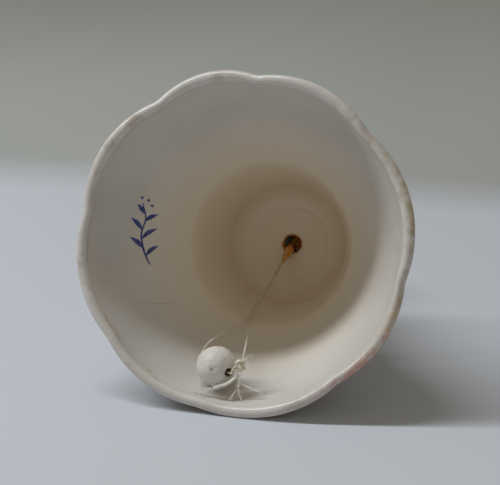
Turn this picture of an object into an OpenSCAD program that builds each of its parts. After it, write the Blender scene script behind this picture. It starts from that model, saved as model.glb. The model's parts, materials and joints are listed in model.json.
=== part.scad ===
// Porcelain hand bell lying on its side, with a glazed ceramic bead hung inside it on a thread.
// Each sub-part is drawn in the bell's own frame: the mouth's plane is z = 0, +z runs up the axis to the
// crown and the handle, and +y is the side that the bell lies on. as_it_lies() then lays it on the ground.

/* [Bell] */
// Mean outside diameter of the mouth
mouth_d = 75; // [64:0.5:90]
// Depth from the mouth's plane to the inside of the crown
inner_depth = 56; // [48:0.5:70]
// Thickness of the cast wall
wall = 2.4; // [1.8:0.1:3]
// Inside diameter at the waist, where the skirt meets the barrel
waist_d = 38.8; // [34:0.2:46]
// Height of the waist above the mouth
waist_z = 30; // [24:0.5:34]
// Inside diameter of the barrel where its shoulder starts
barrel_d = 29.4; // [24:0.2:34]
// Radius of the shoulder's inside
shoulder_r = 5.5; // [4:0.1:7]
// Diameter of the hole in the crown
crown_hole_d = 4.7; // [4:0.1:5.5]

/* [Scalloped lip] */
// Number of lobes round the lip
lobes = 8; // [6:1:12]
// Distance from the axis to the centre of each lobe's arc
lobe_offset = 14; // [8:0.5:18]
// Height at which the lobes have faded out of the outside
lobe_fade_z = 24; // [16:0.5:28]
// Share of the outside's lobes that the inside shows
inner_lobe_share = 0.6; // [0.3:0.05:0.8]

/* [Handle] */
// Height of the handle from its seat to its tip
handle_h = 56.6; // [45:0.2:70]
// Diameter of the handle's foot, where it is luted to the crown
foot_d = 17; // [14:0.2:18]
// Diameter of the stem at its two necks
neck_d = 8.4; // [7.4:0.2:10]
// Diameter of the knop that fills the palm
knop_d = 16; // [12:0.2:20]
// Diameter of the ball at the tip
finial_d = 12.4; // [10:0.2:15]
// Bore of the hollow stem
stem_bore_d = 5.6; // [5:0.1:6]

/* [Clapper] */
// Diameter of the ceramic bead
bead_d = 9; // [7:0.1:10]
// Bore through the bead
bead_bore_d = 2.2; // [1.6:0.1:2.6]
// How far the bead's centre hangs below the mouth's plane when the bell stands upright
bead_hang = 0.04; // [-7:0.02:9]
// Diameter of the twisted thread
thread_d = 0.9; // [0.7:0.05:1.2]
// Diameter of each single strand
strand_d = 0.44; // [0.36:0.02:0.6]
// Diameter of the cut tails below the knot
tail_d = 1.1; // [0.8:0.05:1.3]
// Diameter of the knot that ties the strands
knot_d = 2.1; // [1.6:0.1:2.4]
// Least gap between the clapper and the porcelain
clapper_gap = 0.35; // [0.3:0.05:0.6]

/* [Hidden] */

// Colours
porcelain = "#efe9dd";
amber = "#8a4a12";
thread_tan = "#c9b48c";
thread_pale = "#e6dcc4";
bead_white = "#ece6da";

// Skirt: a wall of even thickness about a curve from the lip to the waist
skirt_steps = 10;
lobe_steps = 10;
// An odd count leaves a narrow flat along the lip, the edge that the bell stands on
lip_steps = 5;
lip_crest = sin(90 - 90 / lip_steps);
skirt_sink = 0.5;
skirt_overlap = 0.25;
lip_r = wall / 2;
mouth_mid_r = mouth_d / 2 - lip_r;
waist_mid_r = waist_d / 2 + wall / 2 + 0.2;
skirt_drop = waist_z - lip_r;
// Handles of the skirt's curve: the first keeps the lip upright, the second sets the flare at the waist
lip_pull = [-0.7, 0.27 * skirt_drop];
waist_pull = [6.7, -0.35 * skirt_drop];
skirt_ends = [[mouth_mid_r, lip_r], [waist_mid_r, waist_z]];
skirt_curve = [skirt_ends[0], skirt_ends[0] + lip_pull, skirt_ends[1] + waist_pull, skirt_ends[1]];

// Barrel, shoulder and crown
waist_in_r = waist_d / 2 - 0.2;
moulding_r = 1.3;
crown_top = inner_depth + wall;
shoulder_x = barrel_d / 2 - shoulder_r;
crown_rise = 1.3;
shoulder_z = inner_depth - crown_rise - shoulder_r;
ring_step = 0.35;
seat_z = crown_top;
crown_hole_r = crown_hole_d / 2;
arc_steps = 8;
fine = 96;
medium = 48;

// Lobes
lobe_arc_r = mouth_d / 2 + 0.6 - lobe_offset;
lobe_angle = 360 / lobes;
inner_fade_z = 0.7 * lobe_fade_z;

// Clapper
pivot_z = inner_depth + 0.4 * wall;
pivot = [0, 0, pivot_z];
// The thread is as long as the bell is deep, so that the bead strikes the skirt near the lip
bead_reach = pivot_z + bead_hang;
bead_r = bead_d / 2;
bead_side = 10.5;
touch_side = 12.2;
touch_r = waist_in_r - clapper_gap - thread_d / 2;
bore_way = [0.785, 0.178, -0.593];
soaked_length = 9;
soaked_r = 1.1;
pivot_r = 0.85;
swivel_gap = 0.15;
anchor_r = 2.1;
collar_wall = 0.2;
cord_sides = 8;
smooth_steps = 3;

// Route of the strand through the bead, from behind the bead to the knot, in bead radii from its centre
behind_bead = [[-0.69, -1.24, 2.22], [-0.98, -0.82, 1.38], [-1.09, -0.36, 0.93]];
before_bead = [[0.98, 0.04, -0.69], [1.16, -0.27, -0.53]];
// The knot's two ends, and the two tails, in bead radii from the bead's centre
knot_ends = [[1.36, -0.44, -0.29], [1.2, 0, -0.44]];
long_tail_route = [[1.16, 0.04, -0.4], [1.09, 0.4, -0.58], [0.78, 0.71, -0.73], [0.4, 0.89, -0.78],
                   [0.07, 0.98, -0.71]];
short_tail_route = [[1.2, 0.04, -0.4], [1.27, 0.31, -0.47], [1.29, 0.62, -0.51], [1.24, 0.89, -0.51]];

// ---- Functions: the lip's outline and the wall's section ----

function by_bead(p) = [for (q = p) bead_centre + bead_r * q];

function bezier(p, t) =
    pow(1 - t, 3) * p[0] + 3 * t * pow(1 - t, 2) * p[1] + 3 * t * t * (1 - t) * p[2] + pow(t, 3) * p[3];

function bezier_slope(p, t) =
    3 * pow(1 - t, 2) * (p[1] - p[0]) + 6 * t * (1 - t) * (p[2] - p[1]) + 3 * t * t * (p[3] - p[2]);

// How far a lobe reaches from the axis, at an angle from the lobe's centre
function lobe_reach(a) = lobe_offset * cos(a) + sqrt(pow(lobe_arc_r, 2) - pow(lobe_offset * sin(a), 2));

mean_reach = (2 * lobe_reach(0) + 2 * lobe_reach(lobe_angle / 4) + lobe_reach(lobe_angle / 2)) / 5;

// Angles are from +y, the side that the bell lies on, where two lobes meet
function lobe_wave(a) = lobe_reach((a + 360) % lobe_angle - lobe_angle / 2) - mean_reach;

function fade(z, end_z) = pow(max(0, 1 - max(z, 0) / end_z), 2);

// A point of the wall: side is 1 for the outside and -1 for the inside
function wall_r(t, side) =
    let (s = bezier_slope(skirt_curve, t))
    bezier(skirt_curve, t)[0] + side * wall / 2 * norm(s) / s[1];

function wall_z(t) = bezier(skirt_curve, t)[1];

lip_tilt = atan(-bezier_slope(skirt_curve, 0)[0] / bezier_slope(skirt_curve, 0)[1]);

outer_line = [for (i = [0:skirt_steps]) let (t = 1 - i / skirt_steps) [wall_r(t, 1), wall_z(t), 1]];
inner_line = [for (i = [0:skirt_steps])
    let (t = i / skirt_steps) [wall_r(t, -1), wall_z(t), inner_lobe_share]];
lip_round = [for (i = [1:lip_steps - 1])
    let (a = -180 * i / lip_steps,
         k = lip_r * norm(bezier_slope(skirt_curve, 0)) / bezier_slope(skirt_curve, 0)[1])
    [mouth_mid_r + k * cos(a), lip_r * (1 + sin(a) / lip_crest), 1 - (1 - inner_lobe_share) * i / lip_steps]];
sunk_ends = [for (side = [-1, 1]) [wall_r(1, side), waist_z + skirt_sink, 1]];
skirt_section = concat(outer_line, lip_round, inner_line, sunk_ends);

// The skirt's radius at an angle, for one point of its section: [radius, height, share of the lobes]
function skirt_r(q, a) =
    q[0] + q[2] * fade(q[1], q[2] < 1 ? inner_fade_z : lobe_fade_z) * lobe_wave(a);

skirt_angles = [for (i = [0:lobes * lobe_steps - 1]) i * 360 / (lobes * lobe_steps)];

function on_side(r, a, z) = [-r * sin(a), r * cos(a), z];

// ---- Functions: how the bell lies ----

finial_r = finial_d / 2;
finial_z = seat_z + handle_h - finial_r;
rest_r = max([for (a = skirt_angles) (skirt_r([mouth_mid_r, lip_r, 1], a)) * cos(a)]);
lie_span = [rest_r, finial_z - lip_r];
tilt = acos((finial_r - lip_r) / norm(lie_span)) - atan2(lie_span[1], lie_span[0]);
skirt_points = [for (q = skirt_section, a = skirt_angles) on_side(skirt_r(q, a), a, q[1])];
floor_drop = max([for (p = skirt_points) p[1] * cos(tilt) + p[2] * sin(tilt)]);
front_y = min([for (p = skirt_points) p[2] * cos(tilt) - p[1] * sin(tilt)]);
back_y = finial_z * cos(tilt) + finial_r;

module as_it_lies() {
    translate([0, -(front_y + back_y) / 2, floor_drop]) rotate([-90 - tilt, 0, 0]) children();
}

// ---- Functions: where the clapper rests ----

tight_line = [for (q = inner_line) [skirt_r(q, 0), q[1]]];

function bead_at(lean) = [bead_reach * sin(lean), pivot_z - bead_reach * cos(lean)];

// Distance from a point to a stretch of the wall's section
function to_stretch(p, a, b) =
    let (t = max(0, min(1, (p - a) * (b - a) / ((b - a) * (b - a))))) norm(p - a - t * (b - a));

tight_radii = [for (q = tight_line) [q[1], q[0]]];

// Less than nothing when the bead's centre is in the wall or outside it
function bead_clearance(lean) =
    bead_at(lean)[0] > lookup(bead_at(lean)[1], tight_radii) ? -bead_r
    : min([for (i = [1:len(tight_line) - 1])
        to_stretch(bead_at(lean), tight_line[i - 1], tight_line[i])]) - bead_r;

function widest_lean(low, high, tries) =
    let (mid = (low + high) / 2)
    tries == 0 ? low
    : bead_clearance(mid) > clapper_gap ? widest_lean(mid, high, tries - 1)
    : widest_lean(low, mid, tries - 1);

bead_lean = widest_lean(0, 45, 24);
bead_centre = on_side(bead_at(bead_lean)[0], bead_side, bead_at(bead_lean)[1]);
touch = on_side(touch_r, touch_side, waist_z);
thread_way = (touch - pivot) / norm(touch - pivot);

// ---- Functions: tubes ----

function rounded(p) = [for (i = [0:len(p) - 2], k = [0:smooth_steps - 1])
    let (t = k / smooth_steps, a = p[max(i - 1, 0)], b = p[i], c = p[i + 1], d = p[min(i + 2, len(p) - 1)])
    b + t * (c - a) / 2 + t * t * (a - 2.5 * b + 2 * c - d / 2) + pow(t, 3) * (1.5 * (b - c) + (d - a) / 2)];

function through(p) = concat(rounded(p), [p[len(p) - 1]]);

function unit(v) = v / norm(v);

// A tube along points, with its radius going evenly from r0 to r1
module tube(p, r0, r1) {
    off_line = [0.8, 0.5, 0.33];
    last = len(p) - 1;
    rings = [for (i = [0:last])
        let (way = unit(p[min(i + 1, last)] - p[max(i - 1, 0)]), u = unit(cross(way, off_line)), v = cross(way, u),
             r = r0 + (r1 - r0) * i / last)
        for (k = [0:cord_sides - 1])
            let (a = 360 * k / cord_sides) p[i] + r * cos(a) * u + r * sin(a) * v];
    sides = [for (i = [0:last - 1], k = [0:cord_sides - 1])
        let (a = i * cord_sides + k, b = i * cord_sides + (k + 1) % cord_sides)
        each [[a, a + cord_sides, b], [b, a + cord_sides, b + cord_sides]]];
    start = [for (k = [0:cord_sides - 1]) k];
    end = [for (k = [cord_sides - 1:-1:0]) last * cord_sides + k];
    polyhedron(rings, concat(sides, [start, end]), convexity = 6);
}

// ---- Bell body ----

module skirt() {
    n = len(skirt_angles);
    m = len(skirt_section);
    faces = [for (i = [0:m - 1], k = [0:n - 1])
        let (i2 = (i + 1) % m, k2 = (k + 1) % n)
        each [[i * n + k, i * n + k2, i2 * n + k], [i * n + k2, i2 * n + k2, i2 * n + k]]];
    polyhedron(skirt_points, faces, convexity = 6);
}

// Half of the shoulder's arc, as [radius, height] points
function shoulder_arc(r, from, to) = [for (i = [0:arc_steps])
    let (a = from + (to - from) * i / arc_steps) [shoulder_x + r * cos(a), shoulder_z + r * sin(a)]];

// Round moulding outside the waist, from its top to its undercut
moulding_turn = 150;
moulding_x = waist_mid_r + wall / 2 + 0.6;
moulding_z = waist_z - skirt_overlap + moulding_r;
moulding = [for (i = [0:arc_steps])
    let (a = 90 - moulding_turn * i / arc_steps) [moulding_x + moulding_r * cos(a), moulding_z + moulding_r * sin(a)]];

module barrel_and_crown() {
    inside = concat([[waist_in_r, waist_z - skirt_overlap]], shoulder_arc(shoulder_r, 0, 90),
                    [[shoulder_x - ring_step, shoulder_z + shoulder_r + ring_step],
                     [crown_hole_r, inner_depth]]);
    outside = concat([[crown_hole_r, crown_top], [foot_d / 2 + ring_step, crown_top]],
                     shoulder_arc(shoulder_r + wall, 90, 0), [[moulding_x - ring_step, moulding[0][1] + ring_step]]);
    // Turned by half a step, so that its seam falls between the skirt's edges
    rotate(180 / len(skirt_angles)) rotate_extrude($fn = fine) polygon(concat(inside, outside, moulding));
}

module bell_body() {
    color(porcelain) as_it_lies() {
        skirt();
        barrel_and_crown();
    }
}

// ---- Handle ----

function curved(p, first) = [for (i = [first:arc_steps]) bezier(p, i / arc_steps)];

// Outline of the turned handle: [radius, height above the seat]
function handle_outline() =
    let (h = handle_h - finial_d, foot = foot_d / 2, neck = neck_d / 2, knop = knop_d / 2)
    concat([[0, 0], [foot, 0], [foot, 1.4], [foot - 0.8, 2.2]],
           curved([[foot - 2, 2.4], [neck, 3], [neck, 0.1 * h], [neck, 0.2 * h]], 0),
           curved([[neck, 0.2 * h], [neck + 0.2, 0.3 * h], [knop, 0.28 * h], [knop, 0.44 * h]], 1),
           curved([[knop, 0.44 * h], [knop, 0.6 * h], [neck, 0.62 * h], [neck, 0.8 * h]], 1),
           [[neck, 0.86 * h], [neck + 1.2, 0.88 * h], [neck + 1.5, 0.91 * h], [neck + 1.2, 0.94 * h],
            [neck - 0.4, 0.97 * h]],
           [[neck - 0.4, h + 1], [0, h + 1]]);

module handle() {
    color(porcelain) as_it_lies() translate([0, 0, seat_z]) difference() {
        union() {
            rotate_extrude($fn = fine) polygon(handle_outline());
            translate([0, 0, handle_h - finial_r]) sphere(r = finial_r, $fn = fine);
        }
        translate([0, 0, -1]) cylinder(d = stem_bore_d, h = 0.6 * handle_h + 1, $fn = medium);
    }
}

// ---- Glue and anchor ----

module glue_collar() {
    color(amber) as_it_lies() translate([0, 0, inner_depth]) difference() {
        cylinder(r = crown_hole_r, h = wall, $fn = medium);
        translate([0, 0, -1]) cylinder(r = crown_hole_r - collar_wall, h = wall + 2, $fn = medium);
    }
}

module anchor_knot() {
    knot_z = seat_z + anchor_r + swivel_gap;
    color(amber) as_it_lies() {
        translate([0, 0, knot_z]) sphere(r = anchor_r, $fn = medium);
        translate([0, 0, pivot_z + pivot_r + swivel_gap])
            cylinder(r = thread_d / 2, h = knot_z - pivot_z - pivot_r - swivel_gap, $fn = medium);
    }
}

// ---- Clapper ----

module soaked_thread_end() {
    lean = atan2(norm([thread_way[0], thread_way[1]]), -thread_way[2]);
    color(amber) as_it_lies() translate(pivot) rotate([0, 180 - lean, atan2(thread_way[1], thread_way[0])])
        rotate_extrude($fn = medium)
            polygon([[0, -0.6 * pivot_r], [0.7 * pivot_r, -0.4 * pivot_r], [pivot_r, 0],
                     [soaked_r, 0.25 * soaked_length],
                     [thread_d, 0.6 * soaked_length], [thread_d / 2, soaked_length], [0, soaked_length]]);
}

module twisted_thread() {
    start = pivot + soaked_length * thread_way;
    color(thread_tan) as_it_lies()
        tube([for (i = [0:10]) start + (touch - start) * i / 10], thread_d / 2, thread_d / 2);
}

bore_mouth = (bead_r + strand_d) * bore_way;
knot = by_bead(knot_ends);

module bead_strand() {
    route = concat([touch - 0.4 * thread_way], by_bead(behind_bead),
                   [bead_centre - bore_mouth, bead_centre, bead_centre + bore_mouth],
                   by_bead(before_bead), [knot[0]]);
    color(thread_pale) as_it_lies() tube(through(route), strand_d / 2, strand_d / 2);
}

module return_strand() {
    start = touch - 0.4 * thread_way;
    color(thread_pale) as_it_lies()
        tube([for (i = [0:8]) start + (knot[0] - start) * i / 8], strand_d / 2, strand_d / 2);
}

module tie_knot() {
    color(thread_pale) as_it_lies()
        for (i = [0:2]) translate(knot[0] + (knot[1] - knot[0]) * i / 2)
            sphere(d = knot_d - 0.15 * i, $fn = medium);
}

module long_tail() {
    color(thread_pale) as_it_lies()
        tube(through(by_bead(long_tail_route)), tail_d / 2, 0.7 * tail_d / 2);
}

module short_tail() {
    color(thread_pale) as_it_lies()
        tube(through(by_bead(short_tail_route)), tail_d / 2, 0.8 * tail_d / 2);
}

module clapper_bead() {
    lean = acos(bore_way[2] / norm(bore_way));
    color(bead_white) as_it_lies() translate(bead_centre) rotate([0, lean, atan2(bore_way[1], bore_way[0])])
        difference() {
            sphere(r = bead_r, $fn = fine);
            cylinder(d = bead_bore_d, h = 2 * bead_d, center = true, $fn = medium);
        }
}

bell_body();
handle();
glue_collar();
anchor_knot();
soaked_thread_end();
twisted_thread();
bead_strand();
return_strand();
tie_knot();
long_tail();
short_tail();
clapper_bead();
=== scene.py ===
import json
import math

import bpy
import numpy as np
from mathutils import Matrix, Vector, noise


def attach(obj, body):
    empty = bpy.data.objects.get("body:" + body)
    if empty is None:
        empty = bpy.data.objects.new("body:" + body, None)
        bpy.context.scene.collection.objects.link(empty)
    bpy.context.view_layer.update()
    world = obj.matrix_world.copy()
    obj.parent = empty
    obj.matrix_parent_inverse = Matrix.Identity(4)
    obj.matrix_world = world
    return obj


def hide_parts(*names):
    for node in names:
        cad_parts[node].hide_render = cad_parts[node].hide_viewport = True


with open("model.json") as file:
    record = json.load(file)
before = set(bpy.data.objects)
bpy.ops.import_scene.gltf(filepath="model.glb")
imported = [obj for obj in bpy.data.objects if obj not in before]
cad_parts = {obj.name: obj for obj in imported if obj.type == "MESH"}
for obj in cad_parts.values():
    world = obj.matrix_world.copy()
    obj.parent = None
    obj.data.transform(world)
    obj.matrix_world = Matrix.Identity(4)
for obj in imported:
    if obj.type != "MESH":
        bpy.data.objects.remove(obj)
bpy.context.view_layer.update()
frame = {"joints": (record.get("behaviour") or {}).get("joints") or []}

# ---- The bell's own frame: z = 0 is the mouth, +z runs in to the crown, +y is the side it lies on ----

MM = 0.001
JOINTS = {j["name"]: j for j in frame["joints"]}
PIVOT_Z = 56.96
INWARD = Vector(JOINTS["clapper_orbit"]["axis"])
ACROSS = Vector((1, 0, 0))
TO_FLOOR = INWARD.cross(ACROSS)
MOUTH = Vector(JOINTS["clapper_orbit"]["pos_m"]) - PIVOT_Z * MM * INWARD
AS_IT_LIES = Matrix((
    (ACROSS.x, TO_FLOOR.x, INWARD.x, MOUTH.x),
    (ACROSS.y, TO_FLOOR.y, INWARD.y, MOUTH.y),
    (ACROSS.z, TO_FLOOR.z, INWARD.z, MOUTH.z),
    (0, 0, 0, 1)))
SCENE = bpy.context.scene
SCENE.view_settings.view_transform = "Standard"


# ---- Camera ----

VIEW_TURN, VIEW_RISE = math.radians(14.11), math.radians(16.45)
VIEW_DISTANCE = 0.3
# Where the view's middle is from the mouth's, to the right and up
VIEW_OFFSET = (0.00233, 0.00043)
VIEW_WIDTH = math.radians(20.31)


def add_camera():
    back = Vector((math.sin(VIEW_TURN) * math.cos(VIEW_RISE), -math.cos(VIEW_TURN) * math.cos(VIEW_RISE),
                   math.sin(VIEW_RISE)))
    right = Vector((math.cos(VIEW_TURN), math.sin(VIEW_TURN), 0))
    camera = bpy.data.objects.new("camera", bpy.data.cameras.new("camera"))
    SCENE.collection.objects.link(camera)
    aim = MOUTH + VIEW_OFFSET[0] * right + VIEW_OFFSET[1] * back.cross(right)
    camera.location = aim + VIEW_DISTANCE * back
    camera.rotation_mode = "QUATERNION"
    camera.rotation_quaternion = (-back).to_track_quat("-Z", "Y")
    camera.data.sensor_fit = "HORIZONTAL"
    camera.data.angle = VIEW_WIDTH
    camera.data.clip_start = 0.01
    SCENE.camera = camera


add_camera()

# ---- Materials ----


class Shader:
    """A material made of nodes, with short calls for what this script needs."""

    def __init__(self, name, **constants):
        self.material = bpy.data.materials.new(name)
        self.material.use_nodes = True
        self.tree = self.material.node_tree
        self.surface = self.tree.nodes["Principled BSDF"]
        self.place = self.add("TexCoord").outputs["Object"]
        for socket, value in constants.items():
            self.surface.inputs[socket.replace("_", " ")].default_value = value

    def add(self, kind, inputs=(), **settings):
        node = self.tree.nodes.new("ShaderNode" + kind)
        for key, value in settings.items():
            setattr(node, key, value)
        for key, value in dict(inputs).items():
            if isinstance(value, bpy.types.NodeSocket):
                self.tree.links.new(value, node.inputs[key])
            else:
                node.inputs[key].default_value = value
        return node

    def noise(self, scale, detail=3.0, rough=0.5, stretch=None):
        at = self.place
        if stretch:
            at = self.add("Mapping", {"Vector": at, "Scale": stretch}).outputs["Vector"]
        made = self.add("TexNoise", {"Vector": at, "Scale": scale, "Detail": detail, "Roughness": rough})
        return made.outputs["Fac"]

    def cells(self, scale):
        return self.add("TexVoronoi", {"Vector": self.place, "Scale": scale}).outputs["Distance"]

    def attribute(self, name):
        return self.add("Attribute", attribute_name=name).outputs["Fac"]

    def steps(self, value, *stops):
        """A colour ramp: stops are (position, grey or RGB)."""
        ramp = self.add("ValToRGB", {"Fac": value})
        band = ramp.color_ramp
        while len(band.elements) < len(stops):
            band.elements.new(0.5)
        for element, (at, colour) in zip(band.elements, stops):
            element.position = at
            element.color = (*((colour,) * 3 if isinstance(colour, (int, float)) else colour), 1)
        return ramp.outputs["Color"]

    def span(self, value, low, high, to_low=0.0, to_high=1.0):
        return self.add("MapRange", {"Value": value, "From Min": low, "From Max": high, "To Min": to_low,
                                     "To Max": to_high}).outputs["Result"]

    def times(self, a, b):
        return self.add("Math", {0: a, 1: b}, operation="MULTIPLY").outputs["Value"]

    def plus(self, a, b):
        return self.add("Math", {0: a, 1: b}, operation="ADD").outputs["Value"]

    def mix(self, share, a, b, kind="MIX"):
        node = self.add("Mix", data_type="RGBA", blend_type=kind)
        for index, value in ((0, share), (6, a), (7, b)):
            if isinstance(value, bpy.types.NodeSocket):
                self.tree.links.new(value, node.inputs[index])
            elif index == 0:
                node.inputs[index].default_value = value
            else:
                node.inputs[index].default_value = (*value, 1)
        return node.outputs[2]

    def set(self, **sockets):
        for socket, value in sockets.items():
            self.tree.links.new(value, self.surface.inputs[socket.replace("_", " ")])
        return self

    def bump(self, height, distance, strength=1.0):
        made = self.add("Bump", {"Height": height, "Distance": distance, "Strength": strength})
        self.tree.links.new(made.outputs["Normal"], self.surface.inputs["Normal"])
        return self


def glaze_material(name, decorated=False):
    s = Shader(name, Specular_IOR_Level=0.5, IOR=1.5)
    tone = s.mix(s.span(s.noise(60, 2), 0.35, 0.65), (0.605, 0.58, 0.54), (0.655, 0.63, 0.59))
    tone = s.mix(s.span(s.noise(900, 4, 0.7), 0.55, 0.75, 0, 0.25), tone, (0.56, 0.51, 0.44))
    pinholes = s.steps(s.cells(420), (0.0, 1), (0.035, 1), (0.06, 0))
    tone = s.mix(s.times(pinholes, s.span(s.noise(130, 1), 0.58, 0.62, 0, 0.6)), tone, (0.35, 0.28, 0.2))
    if decorated:
        # Painted bounce light: the deep mask mixes the inside wall towards a paler, warmer cream deeper in,
        # standing in for light bounced round the inside
        tone = s.mix(s.attribute("deep"), tone, (0.86, 0.75, 0.59))
        lip = s.attribute("lip")
        rim = s.attribute("rim_band")
        grime = s.times(s.span(lip, 0.05, 0.9), s.span(s.noise(240, 5, 0.65), 0.46, 0.68))
        tone = s.mix(s.times(grime, s.span(s.noise(45, 1), 0.4, 0.6, 0.15, 0.75)), tone, (0.40, 0.33, 0.25))
        # From the upper right round to the bottom: mauve, gilt and olive, brown, ochre, red, pink
        band = s.steps(s.plus(s.attribute("round"), s.span(s.noise(150, 2), 0.3, 0.7, -0.05, 0.05)),
                       (0.12, (0.40, 0.35, 0.38)), (0.32, (0.44, 0.35, 0.16)), (0.52, (0.30, 0.22, 0.17)),
                       (0.66, (0.55, 0.34, 0.14)), (0.78, (0.52, 0.16, 0.13)), (0.92, (0.56, 0.42, 0.42)))
        worn = s.times(rim, s.span(s.noise(520, 5, 0.7), 0.38, 0.56))
        tone = s.mix(s.times(worn, s.span(s.noise(90, 2), 0.35, 0.5, 0.25, 1.0)), tone, band)
    rough = s.span(s.noise(150, 3), 0.3, 0.7, 0.16, 0.27)
    s.set(Base_Color=tone, Roughness=rough)
    return s.bump(s.plus(s.noise(260, 2), s.times(s.noise(1500, 2), 0.18)), 0.0002, 0.35).material


def enamel_material(name, deep, light):
    s = Shader(name, Specular_IOR_Level=0.5)
    brush = s.noise(700, 3, 0.6)
    tone = s.mix(s.span(s.attribute("along"), 0.0, 1.0), deep, light)
    tone = s.mix(s.span(brush, 0.45, 0.7, 0, 0.5), tone, light)
    tone = s.mix(s.span(s.noise(2600, 2), 0.6, 0.75, 0, 0.35), tone, (0.72, 0.66, 0.58))
    s.set(Base_Color=tone, Roughness=s.span(brush, 0.3, 0.7, 0.22, 0.4))
    return s.bump(brush, 0.0001, 0.4).material


def gilt_material():
    s = Shader("worn_gilt", Metallic=0.85)
    wear = s.span(s.noise(800, 5, 0.7), 0.52, 0.68)
    tone = s.mix(s.noise(90, 2), (0.62, 0.40, 0.12), (0.74, 0.55, 0.22))
    s.set(Base_Color=s.mix(wear, tone, (0.30, 0.20, 0.08)), Roughness=s.span(wear, 0, 1, 0.28, 0.6))
    return s.bump(wear, 0.00005, 0.5).material


def stain_material(name, tone, other):
    s = Shader(name)
    s.set(Base_Color=s.mix(s.span(s.noise(900, 4, 0.7), 0.4, 0.6), tone, other),
          Roughness=s.span(s.noise(500, 2), 0.3, 0.7, 0.3, 0.6))
    return s.material


def thread_material(name, tone, deep, pale):
    s = Shader(name, Roughness=0.85, Specular_IOR_Level=0.25, Sheen_Weight=0.3, Sheen_Roughness=0.5)
    fibres = s.noise(2500, 4, 0.7)
    colour = s.mix(s.span(fibres, 0.35, 0.62), deep, tone)
    colour = s.mix(s.span(s.noise(420, 3), 0.45, 0.65, 0, 0.7), colour, pale)
    s.set(Base_Color=colour)
    return s.bump(fibres, 0.00012, 0.8).material


def amber_material():
    s = Shader("amber_glue", Specular_IOR_Level=0.6, Coat_Weight=0.6, Coat_Roughness=0.08)
    pool = s.noise(420, 3, 0.6)
    tone = s.steps(s.plus(s.times(s.attribute("along"), 0.75), s.span(pool, 0.3, 0.7, -0.12, 0.12)),
                   (0.0, (0.06, 0.018, 0.006)), (0.16, (0.34, 0.085, 0.006)), (0.36, (0.72, 0.27, 0.008)),
                   (0.74, (0.60, 0.36, 0.12)))
    s.set(Base_Color=tone, Roughness=s.span(pool, 0.35, 0.65, 0.14, 0.32))
    return s.bump(s.noise(1100, 3), 0.00018, 0.6).material


def bisque_material():
    s = Shader("clapper_ceramic", Specular_IOR_Level=0.45)
    tone = s.mix(s.span(s.noise(220, 3), 0.35, 0.65), (0.62, 0.59, 0.54), (0.70, 0.67, 0.62))
    tone = s.mix(s.span(s.noise(1400, 5, 0.7), 0.56, 0.72, 0, 0.5), tone, (0.52, 0.45, 0.38))
    # Real stain at the chip, plus painted shade darkening the bore and its mouth and a painted contact shadow
    # where the bead lies on the wall
    tone = s.mix(s.attribute("stain_and_shade"), tone, (0.20, 0.12, 0.07))
    s.set(Base_Color=tone, Roughness=s.span(s.noise(600, 4), 0.35, 0.65, 0.38, 0.6))
    return s.bump(s.plus(s.noise(900, 4, 0.65), s.times(s.noise(260, 2), 1.2)), 0.00035, 0.6).material


GLAZE = glaze_material("porcelain_glaze", decorated=True)
HANDLE_GLAZE = glaze_material("handle_glaze")
BLUE = enamel_material("blue_enamel", (0.020, 0.030, 0.16), (0.06, 0.085, 0.30))
ROSE = enamel_material("rose_enamel", (0.42, 0.035, 0.05), (0.78, 0.36, 0.36))
MAUVE = enamel_material("mauve_enamel", (0.22, 0.13, 0.24), (0.52, 0.42, 0.56))
LEAF = enamel_material("leaf_enamel", (0.06, 0.11, 0.03), (0.25, 0.33, 0.09))
OCHRE = enamel_material("ochre_enamel", (0.52, 0.21, 0.02), (0.80, 0.50, 0.12))
GILT = gilt_material()
GRIME = stain_material("old_grime", (0.22, 0.16, 0.10), (0.42, 0.34, 0.25))
MOSS = stain_material("green_grime", (0.16, 0.20, 0.10), (0.40, 0.38, 0.26))
THREAD = thread_material("twisted_cotton", (0.72, 0.64, 0.45), (0.50, 0.41, 0.25), (0.80, 0.74, 0.58))
STRAND = thread_material("loose_cotton", (0.80, 0.74, 0.61), (0.58, 0.50, 0.36), (0.88, 0.84, 0.75))
FIBRE = thread_material("frayed_cotton", (0.84, 0.82, 0.76), (0.70, 0.66, 0.57), (0.90, 0.89, 0.86))
AMBER = amber_material()
BISQUE = bisque_material()

# ---- Meshes ----


def grid_faces(rows, columns, close_rows=False, close_columns=True):
    """Quads over a grid of points, row by row."""
    faces = []
    for i in range(rows if close_rows else rows - 1):
        a, b = i * columns, (i + 1) % rows * columns
        for k in range(columns if close_columns else columns - 1):
            n = (k + 1) % columns
            faces.append((a + k, a + n, b + n, b + k))
    return faces


def add_mesh(name, points, faces, material, body, values=None, replaces=()):
    """A piece from points in the bell's frame, in mm. values are shading attributes, one number a point."""
    mesh = bpy.data.meshes.new(name)
    lies = np.array(AS_IT_LIES)
    in_rows = np.asarray(points, float) * MM @ lies[:3, :3].T + lies[:3, 3]
    mesh.from_pydata(in_rows.tolist(), [], faces)
    mesh.polygons.foreach_set("use_smooth", [True] * len(mesh.polygons))
    for key, numbers in (values or {}).items():
        mesh.attributes.new(key, "FLOAT", "POINT").data.foreach_set("value", np.asarray(numbers, np.float32))
    mesh.materials.append(material)
    mesh.update()
    piece = bpy.data.objects.new(name, mesh)
    SCENE.collection.objects.link(piece)
    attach(piece, body)
    if replaces:
        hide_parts(*replaces)
    return piece


class Parts:
    """Points and faces of several shapes that become one piece."""

    def __init__(self):
        self.points, self.faces, self.along = [], [], []

    def take(self, points, faces, along):
        start = len(self.points)
        self.points += [tuple(p) for p in points]
        self.faces += [tuple(start + i for i in f) for f in faces]
        self.along += list(along)
        return self

    def piece(self, name, material, body, slot, replaces=()):
        return add_mesh(name, self.points, self.faces, material, body, {"along": self.along}, replaces)


# ---- Lines and tubes ----


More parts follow.
